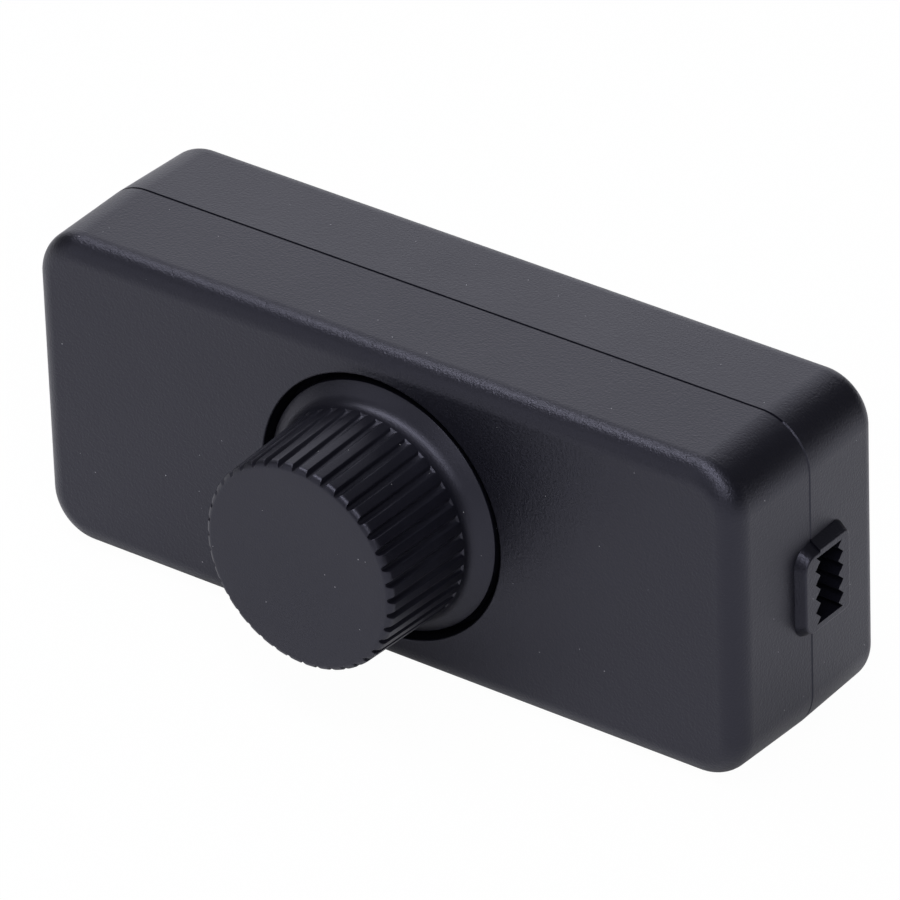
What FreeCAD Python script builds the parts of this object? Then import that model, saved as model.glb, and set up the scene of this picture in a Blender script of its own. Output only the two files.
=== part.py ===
import FreeCAD, Part
import math
import os
from FreeCAD import Vector

# Rotary cord dimmer. Two moulded case halves close on a circuit board, and a fluted knob turns the shaft
# of a potentiometer with a switch. Sizes are millimetres and angles are degrees.
# Every piece is built about the knob's axis, the line x = 0, z = 0, with the parting plane of the case at
# y = 0 and the front towards -y. The finished pieces are moved so that the case stands on z = 0, with the
# dimmer's overall box centred over the origin.

# Knob
knob_height = 13.9
knob_base_radius = 12.25
knob_taper = 0.35
knob_rim_radius = 0.7
rim_bands = 2
knob_wall = 1.4
knob_face_wall = 2.0
hub_wall = 1.7
hub_rib = 1.0
hub_rib_count = 4
flute_count = 40
flute_depth = 0.8
flute_mouth = 0.9
flute_floor = 0.5
skirt_width = 2.05
skirt_slope = 35.0
skirt_sink = 0.4
skirt_edge = 1.6
flare_radius = 2.0
flare_bands = 3

# Case halves
case_length = 90.0
front_depth = 12.5
rear_depth = 12.2
wall = 2.0
corner_radius = 5.8
front_edge_radius = 2.6
rear_edge_radius = 2.1
edge_bands = 3
front_draft = 1.2
rear_draft = 1.7
seam_bevel = 0.15
tongue_height = 1.5
tongue_wall = 0.9

# Knob well in the front cover
skirt_gap = 0.9
well_margin = 3.6
well_depth = 3.6
well_floor = 1.6
well_wall = 2.0
well_lip = 0.4

# Cord collars, each in two parts that meet at the parting plane
collar_reach = 1.2
collar_front_wall = 2.0
collar_rear_wall = 1.55
collar_end_wall = 1.45
collar_side_slope = 0.3
collar_end_slope = 0.65
collar_corner = 1.2
corner_bands = 2
collar_edge = 0.25
slot_gap = 3.1
slot_height = 7.9
tooth_count = 5
tooth_pitch = 1.65
tooth_depth = 0.85

# Case screws
screw_radius = 1.45
screw_head_radius = 2.7
screw_head_height = 2.2
screw_seat = 6.2
screw_bite = 7.8
front_boss_wall = 1.7
rear_boss_wall = 1.2
boss_gap = 0.55

# Circuit board and the posts that it rests on
board_thickness = 1.6
board_standoff = 1.6
board_end_gap = 0.5
board_side_gap = 1.0
post_width = 4.4
post_inset = 4.4

# Potentiometer with switch
shaft_radius = 3.0
shaft_flat = 1.5
shaft_neck_radius = 2.0
rivet_radius = 2.6
rivet_height = 0.3
bushing_wall = 0.5
bushing_spare = 0.6
seat_width = 2.3
nut_wall = 1.5
nut_thickness = 2.0
hub_spare = 1.4
pot_width = 14.0
pot_wall = 0.8
pot_plate = 1.0
rotor_radius = 5.6
rotor_thickness = 1.4
wiper_reach = 5.2
wiper_width = 2.0
wiper_thickness = 0.25
finger_reach = 0.4
finger_width = 0.6
wafer_thickness = 1.2
wafer_tab_width = 11.5
pot_pin_pitch = 4.5
pot_pin_width = 1.2
pot_pin_reach = 2.4
switch_depth = 6.0
switch_pin_pitch = 7.0
pin_thickness = 0.5

# Parts soldered to the board
lead_size = 0.6
lead_tail = 1.0
part_gap = 2.0
triac_width = 10.0
triac_body_length = 9.0
triac_tab_length = 6.5
triac_thickness = 4.5
triac_tab_thickness = 1.3
triac_hole_radius = 1.8
triac_lead_pitch = 2.54
triac_lead_width = 0.8
triac_lead_reach = 3.0
choke_core_radius = 2.5
choke_core_length = 14.0
choke_winding_radius = 4.3
choke_winding_length = 10.5
choke_lead_inset = 0.6
suppressor_length = 12.0
suppressor_width = 6.0
suppressor_height = 11.0
suppressor_pitch = 9.0
timer_length = 7.2
timer_width = 2.8
timer_height = 6.5
timer_pitch = 5.0
moulded_edge = 0.5
fuse_length = 8.4
fuse_width = 4.3
fuse_height = 7.7
fuse_pitch = 5.08
diode_radius = 0.95
diode_length = 3.8
resistor_radius = 1.2
resistor_length = 6.2
axial_reach = 2.0

# Terminal blocks
block_pitch = 5.08
block_depth = 8.0
block_height = 10.0
entry_height = 4.1
entry_size = 3.4
entry_depth = 6.0
cage_wall = 0.5
cage_length = 4.5
cage_setback = 0.8
clamp_screw_radius = 1.25
clamp_screw_length = 3.4
terminal_pin_width = 1.0

# Clearances
slip_gap = 0.15
fit_gap = 0.05
run_gap = 0.1
head_gap = 0.3
pilot_spare = 0.6
hole_gap = 0.1
cut_over = 1.0

# Places worked out from the sizes above
skirt_radius = knob_base_radius + skirt_width
well_radius = skirt_radius + skirt_gap
case_height = 2 * (well_radius + well_margin)
half_length = case_length / 2
half_height = case_height / 2
collar_half_height = slot_height / 2 + collar_end_wall

front_y = -front_depth
floor_front_y = front_y + well_depth
floor_back_y = floor_front_y + well_floor
board_front_y = floor_back_y + board_standoff
board_back_y = board_front_y + board_thickness
solder_y = board_front_y - lead_tail

front_boss_radius = screw_radius + front_boss_wall
rear_boss_radius = screw_head_radius + head_gap + rear_boss_wall
boss_inset = wall + slip_gap + tongue_wall + boss_gap + front_boss_radius
boss_x = half_length - boss_inset
boss_z = half_height - boss_inset
boss_places = [(-boss_x, boss_z), (boss_x, -boss_z)]

board_half_length = boss_x - front_boss_radius - board_end_gap
board_half_height = half_height - wall - board_side_gap
post_x = board_half_length - post_inset
post_z = board_half_height - post_inset
post_places = [(-post_x, post_z), (post_x, -post_z)]

bushing_radius = shaft_radius + bushing_wall
nut_y = floor_front_y - nut_thickness
bushing_y = nut_y - bushing_spare
hub_y = bushing_y - hub_spare
face_y = front_y - knob_height
knob_inside_y = face_y + knob_face_wall
shaft_y = knob_inside_y + head_gap

pot_half = pot_width / 2
plate_back_y = board_back_y + pot_plate
rotor_y = plate_back_y + run_gap
wiper_y = rotor_y + rotor_thickness
rivet_y = wiper_y + wiper_thickness
wafer_y = rivet_y + finger_reach + run_gap
housing_y = wafer_y + wafer_thickness
switch_y = housing_y + pot_wall
switch_back_y = switch_y + switch_depth

block_outer_x = board_half_length
entry_y = board_back_y + entry_height
parts_x = pot_half + part_gap

# Holes for the leads, added to as each part is set on the board
board_holes = []


def block(x0, x1, y0, y1, z0, z1):
    return Part.makeBox(x1 - x0, y1 - y0, z1 - z0, Vector(x0, y0, z0))


def drum(radius, y0, y1, x=0, z=0):
    return Part.makeCylinder(radius, y1 - y0, Vector(x, y0, z), Vector(0, 1, 0))


def rod(radius, x0, x1, y, z):
    return Part.makeCylinder(radius, x1 - x0, Vector(x0, y, z), Vector(1, 0, 0))


def tube(outer, inner, y0, y1, x=0, z=0):
    return drum(outer, y0, y1, x, z).cut(drum(inner, y0, y1, x, z))


def closed_solid(faces):
    # A solid inside the given faces, its shell turned outwards.
    shell = Part.makeShell(faces)
    shell.sewShape()
    solid = Part.makeSolid(shell)
    if solid.Orientation == "Forward":
        return solid
    shell.reverse()
    return Part.makeSolid(shell)


def flat_face(corners):
    return Part.Face(Part.makePolygon(corners + corners[:1]))


def turned(outline):
    # A closed outline of radius and y, revolved about the knob's axis.
    return flat_face(outline).revolve(Vector(0, 0, 0), Vector(0, 1, 0), 360)


def stacked(outlines):
    # A solid with flat walls between outlines that all have the same number of corners.
    count = len(outlines[0])
    sides = [(k, (k + 1) % count) for k in range(count)]
    faces = [flat_face(outlines[0]), flat_face(outlines[-1])]
    for near, far in zip(outlines, outlines[1:]):
        faces += [flat_face([near[a], near[b], far[b], far[a]]) for a, b in sides]
    return closed_solid(faces)


def edges_on_plane(shape, y):
    return [e for e in shape.Edges if all(abs(v.Y - y) < 1e-6 for v in e.Vertexes)]


def case_corners(inset, y):
    # The four rounded corners of the case at one depth, set in on every side: each with its centre, and the
    # start, middle and end of its arc.
    x = half_length - inset
    z = half_height - inset
    radius = corner_radius - inset
    sagitta = radius * (1 - math.sqrt(0.5))
    corners = []
    for sx, sz in ((1, 1), (-1, 1), (-1, -1), (1, -1)):
        centre = Vector(sx * (x - radius), y, sz * (z - radius))
        middle = Vector(sx * (x - sagitta), y, sz * (z - sagitta))
        on_end = Vector(sx * x, y, centre.z)
        on_side = Vector(centre.x, y, sz * z)
        start, end = (on_end, on_side) if sx * sz > 0 else (on_side, on_end)
        corners.append((centre, start, middle, end))
    return corners


def outline_face(corners):
    edges = []
    for corner, following in zip(corners, corners[1:] + corners[:1]):
        edges.append(Part.Arc(*corner[1:]).toShape())
        edges.append(Part.makeLine(corner[3], following[1]))
    return Part.Face(Part.Wire(edges))


def wall_faces(corners, beyond):
    # The walls between two outlines: a cone at each corner and a plane between corners.
    faces = []
    for k in range(4):
        centre, start, middle, end = corners[k]
        following = (k + 1) % 4
        faces.append(Part.makeLine(start, beyond[k][1]).revolve(centre, Vector(0, 1, 0), -90))
        faces.append(flat_face([end, corners[following][1], beyond[following][1], beyond[k][3]]))
    return faces


def rounded_prism(inset, y0, y1):
    return outline_face(case_corners(inset, y0)).extrude(Vector(0, y1 - y0, 0))


def drafted_block(depth, side, draft, end_radius):
    # One half of the case as a solid: bevelled at the parting plane, narrowing towards its closed end, where
    # its edge is rounded in a few bands. Each level has a depth and how far the outline is set in there.
    slope = math.tan(math.radians(draft))
    round_start = depth - end_radius
    levels = [(0, seam_bevel), (seam_bevel, 0)]
    for k in range(edge_bands + 1):
        angle = math.pi / 2 * k / edge_bands
        levels.append((round_start + end_radius * math.sin(angle),
                       round_start * slope + end_radius * (1 - math.cos(angle))))
    outlines = [case_corners(extra, -y) for y, extra in levels]
    faces = [outline_face(outlines[0]), outline_face(outlines[-1])]
    for corners, beyond in zip(outlines, outlines[1:]):
        faces += wall_faces(corners, beyond)
    solid = closed_solid(faces)
    return solid if side < 0 else solid.mirror(Vector(0, 0, 0), Vector(0, 1, 0))


def case_half(depth, side, draft, end_radius):
    # The outer form, and the straight hollow inside it.
    outer = drafted_block(depth, side, draft, end_radius)
    hollow = rounded_prism(wall, 0, side * (depth - wall))
    return outer, hollow


def collar_outline(x, side_inset, end_inset):
    # The collar's outline at one distance from the middle of the case, its corners rounded in a few bands.
    radius = collar_corner - side_inset
    y0 = radius + side_inset - tooth_depth - collar_front_wall
    y1 = slot_gap + tooth_depth + collar_rear_wall - side_inset - radius
    z = collar_half_height - end_inset - radius
    points = []
    for centre_y, centre_z, start in ((y1, z, 0), (y0, z, 90), (y0, -z, 180), (y1, -z, 270)):
        angles = [math.radians(start + 90 * k / corner_bands) for k in range(corner_bands + 1)]
        points += [Vector(x, centre_y + radius * math.cos(a), centre_z + radius * math.sin(a)) for a in angles]
    return points


def collar_part(sign, side):
    # A low boss with sloping sides round the cord entry. Each cover has the part on its own side of the
    # parting plane.
    root = half_length - wall
    end = half_length + collar_reach
    body = stacked([
        collar_outline(root, 0, 0),
        collar_outline(half_length, 0, 0),
        collar_outline(end - collar_edge, collar_side_slope, collar_end_slope),
        collar_outline(end, collar_side_slope + collar_edge, collar_end_slope + collar_edge),
    ])
    y0, y1 = sorted((0, side * case_height))
    body = body.common(block(root, end, y0, y1, -half_height, half_height))
    return body if sign > 0 else body.mirror(Vector(0, 0, 0), Vector(1, 0, 0))


def toothed_slot(sign):
    # The cord entry: a slot whose long sides are rows of teeth that bite into the flat cord. The front row
    # stops just short of the parting plane, so that the cord lies in the rear cover.
    end = slot_height / 2
    steps = range(-tooth_count, tooth_count + 1)
    heights = [k * tooth_pitch / 2 for k in steps if abs(k * tooth_pitch / 2) < end]
    heights = [-end] + heights + [end]
    tip_phase = (tooth_count - 1) % 2

    def bite(height):
        phase = (2 * height / tooth_pitch + tip_phase) % 2
        return tooth_depth * min(phase, 2 - phase)

    x = half_length - wall - cut_over
    front = [Vector(x, -fit_gap - bite(h), h) for h in heights]
    rear = [Vector(x, slot_gap + bite(h), h) for h in reversed(heights)]
    outline = Part.makePolygon(front + rear + front[:1])
    slot = Part.Face(outline).extrude(Vector(wall + collar_reach + 2 * cut_over, 0, 0))
    return slot if sign > 0 else slot.mirror(Vector(0, 0, 0), Vector(1, 0, 0))


def well_cutter():
    # The bore of the well, with a bevelled lip where it opens in the front face.
    outline = [
        Vector(0, front_y - cut_over, 0),
        Vector(well_radius + well_lip, front_y - cut_over, 0),
        Vector(well_radius + well_lip, front_y, 0),
        Vector(well_radius, front_y + well_lip, 0),
        Vector(well_radius, floor_front_y, 0),
        Vector(0, floor_front_y, 0),
    ]
    return turned(outline)


def front_cover():
    outer, hollow = case_half(front_depth, -1, front_draft, front_edge_radius)
    inside_y = front_y + wall
    seat_half = bushing_radius + seat_width
    post_half = post_width / 2
    additions = [
        drum(well_radius + well_wall, inside_y, floor_back_y),
        block(-seat_half, seat_half, floor_back_y, board_front_y, -seat_half, seat_half),
    ]
    additions += [drum(front_boss_radius, inside_y, 0, x, z) for x, z in boss_places]
    additions += [
        block(x - post_half, x + post_half, inside_y, board_front_y, z - post_half, z + post_half)
        for x, z in post_places
    ]
    cover = outer.cut(hollow)
    cover = cover.multiFuse([piece.common(outer) for piece in additions])
    cover = cover.multiFuse([collar_part(sign, -1) for sign in (-1, 1)])
    pilot_y = -screw_bite - pilot_spare
    bushing_hole = drum(bushing_radius + hole_gap, floor_front_y - cut_over, board_front_y + cut_over)
    cuts = [well_cutter(), bushing_hole]
    cuts += [drum(screw_radius + fit_gap, pilot_y, cut_over, x, z) for x, z in boss_places]
    cuts += [toothed_slot(sign) for sign in (-1, 1)]
    return cover.cut(cuts).removeSplitter()


def tongue():
    # A low rim on the rear cover that drops inside the front cover and lines the two up.
    outer_inset = wall + slip_gap
    inner_inset = outer_inset + tongue_wall
    root_inset = wall / 2
    rim = rounded_prism(outer_inset, -tongue_height, 0)
    root = rounded_prism(root_inset, 0, tongue_height)
    space = rounded_prism(inner_inset, -tongue_height, tongue_height)
    doorway = block(-case_length, case_length, -tongue_height, tongue_height,
                    -collar_half_height, collar_half_height)
    return rim.fuse(root).cut([space, doorway])


def rear_cover():
    outer, hollow = case_half(rear_depth, 1, rear_draft, rear_edge_radius)
    inside_y = rear_depth - wall
    cover = outer.cut(hollow)
    bosses = [drum(rear_boss_radius, 0, inside_y, x, z).common(outer) for x, z in boss_places]
    cover = cover.multiFuse(bosses + [tongue()] + [collar_part(sign, 1) for sign in (-1, 1)])
    cuts = [drum(screw_radius + head_gap, -cut_over, screw_seat + cut_over, x, z) for x, z in boss_places]
    cuts += [
        drum(screw_head_radius + head_gap, screw_seat, rear_depth + cut_over, x, z)
        for x, z in boss_places
    ]
    cuts += [toothed_slot(sign) for sign in (-1, 1)]
    return cover.cut(cuts).removeSplitter()


def case_screws():
    # Two screws driven towards the front, their heads deep in the rear cover.
    screws = []
    for x, z in boss_places:
        head = drum(screw_head_radius, screw_seat, screw_seat + screw_head_height, x, z)
        screws.append(head.fuse(drum(screw_radius, -screw_bite, screw_seat, x, z)))
    return Part.makeCompound(screws)


def blade(x, z, width, thickness, top_y):
    # A lead of rectangular section, from a part down through the board to the solder side.
    half_x = width / 2
    half_z = thickness / 2
    board_holes.append(block(
        x - half_x - hole_gap, x + half_x + hole_gap, board_front_y - cut_over, board_back_y + cut_over,
        z - half_z - hole_gap, z + half_z + hole_gap))
    return block(x - half_x, x + half_x, solder_y, top_y, z - half_z, z + half_z)


def quarter_round(radius, y, width, height, bands):
    # Points on a quarter of an ellipse about a centre at a radius and y, from straight above it to
    # straight out, joined by straight bands.
    angles = [math.pi / 2 * k / bands for k in range(bands + 1)]
    return [Vector(radius + width * math.sin(a), y - height * math.cos(a), 0) for a in angles]


def ridge_outline(radius, y):
    # The outline of the fluted part at one height: a side for every ridge, with its corners in the grooves.
    reach = radius / math.cos(math.pi / flute_count)
    angles = [2 * math.pi * k / flute_count for k in range(flute_count)]
    return [Vector(reach * math.cos(a), y, reach * math.sin(a)) for a in angles]


def fluted_part(base_y):
    face_radius = knob_base_radius - knob_taper
    rim = quarter_round(face_radius - knob_rim_radius, face_y + knob_rim_radius,
                        knob_rim_radius, knob_rim_radius, rim_bands)
    outlines = [ridge_outline(point.x, point.y) for point in rim]
    outlines.append(ridge_outline(knob_base_radius, base_y))
    return stacked(outlines).cut(flutes(face_radius - flute_depth, base_y))


def skirt_flare(edge_y):
    # Points of the hollow curve that leads from the knob's side out into the sloping skirt, joined by
    # straight bands. The skirt runs on straight from the last of them to its edge.
    start_radius = knob_base_radius / math.cos(math.pi / flute_count)
    bend = math.radians(90 - skirt_slope)
    straight = skirt_radius - start_radius - flare_radius * (1 - math.cos(bend))
    start_y = edge_y - straight / math.tan(bend) - flare_radius * math.sin(bend)
    angles = [bend * k / flare_bands for k in range(flare_bands + 1)]
    return [Vector(start_radius + flare_radius * (1 - math.cos(a)), start_y + flare_radius * math.sin(a), 0)
            for a in angles]


def knob():
    cavity_radius = knob_base_radius - knob_taper - flute_depth - knob_wall
    hub_radius = shaft_radius + hub_wall
    edge_y = front_y + skirt_sink
    back_y = edge_y + skirt_edge
    flare = skirt_flare(edge_y)
    flare_y = flare[0].y
    skirt = turned(
        [Vector(0, flare_y, 0)] + flare
        + [Vector(skirt_radius, edge_y, 0), Vector(skirt_radius, back_y, 0), Vector(0, back_y, 0)])
    cavity = turned([
        Vector(hub_radius, knob_inside_y, 0),
        Vector(cavity_radius, knob_inside_y, 0),
        Vector(cavity_radius, back_y + cut_over, 0),
        Vector(0, back_y + cut_over, 0),
        Vector(0, hub_y, 0),
        Vector(hub_radius, hub_y, 0),
    ])
    rib = block(shaft_radius + hub_wall / 2, cavity_radius + knob_wall / 2, knob_inside_y,
                (knob_inside_y + hub_y) / 2, -hub_rib / 2, hub_rib / 2)
    ribs = [turned_about_axis(rib, k * 360 / hub_rib_count) for k in range(hub_rib_count)]
    bore = drum(shaft_radius + fit_gap, knob_inside_y, hub_y + cut_over)
    flat = block(-shaft_radius - cut_over, shaft_radius + cut_over, knob_inside_y, hub_y + cut_over,
                 shaft_flat + fit_gap, shaft_radius + cut_over)
    body = fluted_part(flare_y).fuse(skirt).cut(cavity.cut(ribs))
    return body.cut(bore.cut(flat)).removeSplitter()


def turned_about_axis(shape, angle):
    copy = shape.copy()
    copy.rotate(Vector(0, 0, 0), Vector(0, 1, 0), angle)
    return copy


def flutes(groove_radius, start_y):
    # A flat-floored cutter that opens outwards and narrows with the knob's taper, repeated about the axis.
    face_radius = knob_base_radius - knob_taper
    length = start_y - face_y + cut_over
    side_length = start_y - face_y - knob_rim_radius
    shrink = 1 - length / side_length * knob_taper / knob_base_radius
    depth_at_base = knob_base_radius * (1 - groove_radius / face_radius)
    inner = knob_base_radius - depth_at_base
    outer = knob_base_radius + cut_over
    floor = flute_floor / 2
    mouth = floor + (flute_mouth - flute_floor) / 2 * (outer - inner) / depth_at_base
    section = [(inner, floor), (outer, mouth), (outer, -mouth), (inner, -floor)]
    base = [Vector(x, start_y, z) for x, z in section]
    end = [Vector(x * shrink, start_y - length, z * shrink) for x, z in section]
    cutter = stacked([base, end])
    return [turned_about_axis(cutter, k * 360 / flute_count) for k in range(flute_count)]


def pot_shaft():
    body = drum(shaft_radius, shaft_y, rotor_y)
    neck = drum(shaft_neck_radius, rotor_y, rivet_y)
    rivet = drum(rivet_radius, rivet_y, rivet_y + rivet_height)
    flat = block(-shaft_radius, shaft_radius, shaft_y, hub_y + head_gap, shaft_flat, shaft_radius)
    return body.multiFuse([neck, rivet]).cut(flat).removeSplitter()


def pot_bushing():
    barrel = drum(bushing_radius, bushing_y, board_back_y)
    plate = block(-pot_half, pot_half, board_back_y, plate_back_y, -pot_half, pot_half)
    return barrel.fuse(plate).cut(drum(shaft_radius + fit_gap, bushing_y, plate_back_y)).removeSplitter()


def pot_nut():
    reach = 2 * (bushing_radius + nut_wall) / math.sqrt(3)
    angles = [math.radians(60 * k) for k in range(6)]
    corners = [Vector(reach * math.cos(a), nut_y, reach * math.sin(a)) for a in angles]
    hexagon = Part.Face(Part.makePolygon(corners + corners[:1])).extrude(Vector(0, nut_thickness, 0))
    return hexagon.cut(drum(bushing_radius + fit_gap, nut_y, floor_front_y))


def pot_rotor():
    return tube(rotor_radius, shaft_neck_radius + fit_gap, rotor_y, wiper_y)


def pot_wiper():
    # A thin spring arm on the rotor, with a contact finger that reaches the resistance track.
    arm = block(-wiper_width / 2, wiper_width / 2, wiper_y, rivet_y, rivet_radius, wiper_reach)
    finger = block(-wiper_width / 2, wiper_width / 2, rivet_y, rivet_y + finger_reach,
                   wiper_reach - finger_width, wiper_reach)
    return arm.fuse(finger).removeSplitter()


def wafer_tab(gap):
    # The terminal tab of the wafer, which leaves the housing through a slot in its lower wall.
    half = wafer_tab_width / 2 + gap
    return block(-half, half, wafer_y - gap, housing_y, -pot_half - pot_pin_reach, 0)


def pot_wafer():
    inside = pot_half - pot_wall - slip_gap
    plate = block(-inside, inside, wafer_y, housing_y, -inside, inside)
    hole = drum(rivet_radius + head_gap, wafer_y, housing_y)
    return plate.fuse(wafer_tab(0)).cut(hole).removeSplitter()


def pot_housing():
    inside = pot_half - pot_wall
    shell = block(-pot_half, pot_half, plate_back_y, switch_y, -pot_half, pot_half)
    space = block(-inside, inside, plate_back_y, housing_y, -inside, inside)
    return shell.cut([space, wafer_tab(slip_gap)])


def pot_terminals():
    outer_z = -pot_half - pot_pin_reach + pin_thickness / 2
    shapes = []
    for k in (-1, 0, 1):
        x = k * pot_pin_pitch
        foot = block(x - pot_pin_width / 2, x + pot_pin_width / 2, wafer_y - pin_thickness, wafer_y,
                     outer_z, -pot_half - slip_gap)
        shapes.append(foot.fuse(blade(x, outer_z, pot_pin_width, pin_thickness, wafer_y)).removeSplitter())
    return Part.makeCompound(shapes)


def switch_housing():
    body = block(-pot_half, pot_half, switch_y, switch_back_y, -pot_half, pot_half)
    return body.makeChamfer(moulded_edge, edges_on_plane(body, switch_back_y))


def switch_terminals():
    outer_z = pot_half + pot_pin_reach - pin_thickness / 2
    middle_y = (switch_y + switch_back_y) / 2
    shapes = []
    for k in (-1, 1):
        x = k * switch_pin_pitch / 2
        foot = block(x - pot_pin_width / 2, x + pot_pin_width / 2, middle_y, middle_y + pin_thickness,
                     pot_half, outer_z)
        upright = blade(x, outer_z, pot_pin_width, pin_thickness, middle_y + pin_thickness)
        shapes.append(foot.fuse(upright).removeSplitter())
    return Part.makeCompound(shapes)


def triac():
    # The package lies flat on the board, its tab towards the lower edge and its leads bent down.
    x = parts_x + triac_width / 2
    z0 = -board_half_height + part_gap / 2
    z1 = z0 + triac_tab_length
    z2 = z1 + triac_body_length
    x0 = x - triac_width / 2
    x1 = x + triac_width / 2
    tab_y = board_back_y + triac_tab_thickness
    body = block(x0, x1, tab_y, board_back_y + triac_thickness, z1, z2)
    body = body.makeChamfer(moulded_edge, edges_on_plane(body, board_back_y + triac_thickness))
    tab = block(x0, x1, board_back_y, tab_y, z0, z2)
    tab = tab.cut(drum(triac_hole_radius, board_back_y, tab_y, x, (z0 + z1) / 2))
    lead_y = board_back_y + triac_thickness / 2
    lead_z = z2 + triac_lead_reach - pin_thickness / 2
    leads = []
    for k in (-1, 0, 1):
        lead_x = x + k * triac_lead_pitch
        half = triac_lead_width / 2
        flat = block(lead_x - half, lead_x + half, lead_y, lead_y + pin_thickness, z2, lead_z)
        upright = blade(lead_x, lead_z, triac_lead_width, pin_thickness, lead_y + pin_thickness)
        leads.append(flat.fuse(upright).removeSplitter())
    return {"triac_body": body, "triac_tab": tab, "triac_leads": Part.makeCompound(leads)}


def moulded_box(x, z, length, width, height):
    top_y = board_back_y + height
    half_x = length / 2
    half_z = width / 2
    body = block(x - half_x, x + half_x, board_back_y, top_y, z - half_z, z + half_z)
    return body.makeChamfer(moulded_edge, edges_on_plane(body, top_y))


def lead_pair(x, z, pitch):
    places = [x + side * pitch / 2 for side in (-1, 1)]
    return Part.makeCompound([blade(place, z, lead_size, lead_size, board_back_y) for place in places])


def choke():
    # A ferrite rod lies on the board, wound with enamelled wire along its middle.
    x = -parts_x - choke_core_length / 2
    y = board_back_y + choke_winding_radius
    z = -board_half_height + choke_winding_radius + part_gap
    core = rod(choke_core_radius, x - choke_core_length / 2, x + choke_core_length / 2, y, z)
    x0 = x - choke_winding_length / 2
    x1 = x + choke_winding_length / 2
    winding = rod(choke_winding_radius, x0, x1, y, z).cut(rod(choke_core_radius + fit_gap, x0, x1, y, z))
    lead_z = z - choke_winding_radius + choke_lead_inset
    leads = Part.makeCompound(axial_leads(x, lead_z, choke_winding_length, choke_winding_radius))
    return {"choke_core": core, "choke_winding": winding, "choke_leads": leads}


def suppressor():
    x = -parts_x - suppressor_length / 2
    z = board_half_height - suppressor_width / 2 - part_gap
    return {
        "suppression_capacitor": moulded_box(x, z, suppressor_length, suppressor_width, suppressor_height),
        "suppression_capacitor_leads": lead_pair(x, z, suppressor_pitch),
    }


def triac_lead_end():
    tab_end = -board_half_height + part_gap / 2
    return tab_end + triac_tab_length + triac_body_length + triac_lead_reach


def timer():
    x = parts_x + timer_length / 2
    z = triac_lead_end() + part_gap + timer_width / 2
    return {
        "timing_capacitor": moulded_box(x, z, timer_length, timer_width, timer_height),
        "timing_capacitor_leads": lead_pair(x, z, timer_pitch),
    }


def fuse():
    x = board_half_length - fuse_length / 2 - part_gap / 2
    z = block_pitch + part_gap + fuse_width / 2
    return {
        "fuse": moulded_box(x, z, fuse_length, fuse_width, fuse_height),
        "fuse_leads": lead_pair(x, z, fuse_pitch),
    }


def axial_leads(x, z, length, radius):
    # Leads from both ends of a part that lies on the board, bent down through it.
    axis_y = board_back_y + radius
    half = lead_size / 2
    leads = []
    for side in (-1, 1):
        inner = x + side * length / 2
        outer = inner + side * axial_reach
        x0, x1 = sorted((inner, outer))
        flat = block(x0, x1, axis_y - half, axis_y + half, z - half, z + half)
        leads.append(flat.fuse(blade(outer, z, lead_size, lead_size, axis_y + half)).removeSplitter())
    return leads


def trigger_diode():
    x = parts_x + axial_reach + timer_length / 2
    z = triac_lead_end() + 2 * part_gap + timer_width + diode_radius
    body = rod(diode_radius, x - diode_length / 2, x + diode_length / 2, board_back_y + diode_radius, z)
    leads = Part.makeCompound(axial_leads(x, z, diode_length, diode_radius))
    return {"trigger_diode": body, "trigger_diode_leads": leads}


def resistors():
    bodies = []
    leads = []
    half = resistor_length / 2
    axis_y = board_back_y + resistor_radius
    for side in (-1, 1):
        z = side * (board_half_height - part_gap / 2 - resistor_radius)
        bodies.append(rod(resistor_radius, -half, half, axis_y, z))
        leads += axial_leads(0, z, resistor_length, resistor_radius)
    return {"resistors": Part.makeCompound(bodies), "resistor_leads": Part.makeCompound(leads)}


def terminal_block(sign):
    # A two-way screw terminal whose wire entries face the cord collar. Each way has a metal cage on a pin
    # and a clamp screw that stands open, reached from the back.
    top_y = board_back_y + block_height
    inner_x = block_outer_x - block_depth
    housing = block(inner_x, block_outer_x, board_back_y, top_y, -block_pitch, block_pitch)
    half = entry_size / 2
    cage_half = half - hole_gap
    thread_half = clamp_screw_radius + fit_gap
    cage_x1 = block_outer_x - cage_setback
    cage_x0 = cage_x1 - cage_length
    cage_x = (cage_x0 + cage_x1) / 2
    cuts = []
    cages = []
    screws = []
    pins = []
    for way in (-1, 1):
        z = way * block_pitch / 2
        cuts.append(block(block_outer_x - entry_depth, block_outer_x, entry_y - half, entry_y + half,
                          z - half, z + half))
        well_half = clamp_screw_radius + head_gap
        cuts.append(block(cage_x - well_half, cage_x + well_half, entry_y, top_y,
                          z - well_half, z + well_half))
        pin_half = terminal_pin_width / 2 + hole_gap
        cuts.append(block(cage_x - pin_half, cage_x + pin_half, board_back_y, entry_y,
                          z - pin_half, z + pin_half))
        cage = block(cage_x0, cage_x1, entry_y - cage_half, entry_y + cage_half, z - cage_half, z + cage_half)
        opening = cage_half - cage_wall
        cage = cage.cut([
            block(cage_x0, cage_x1, entry_y - opening, entry_y + opening, z - opening, z + opening),
            block(cage_x - thread_half, cage_x + thread_half, entry_y, entry_y + cage_half,
                  z - thread_half, z + thread_half),
        ])
        cages.append(cage)
        tip_y = entry_y + opening - cage_wall
        screws.append(drum(clamp_screw_radius, tip_y, tip_y + clamp_screw_length, cage_x, z))
        pins.append(blade(sign * cage_x, z, terminal_pin_width, terminal_pin_width, entry_y - cage_half))
    shapes = [[housing.cut(cuts)], cages, screws]
    if sign < 0:
        shapes = [[s.mirror(Vector(0, 0, 0), Vector(1, 0, 0)) for s in group] for group in shapes]
    return shapes + [pins]


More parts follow.
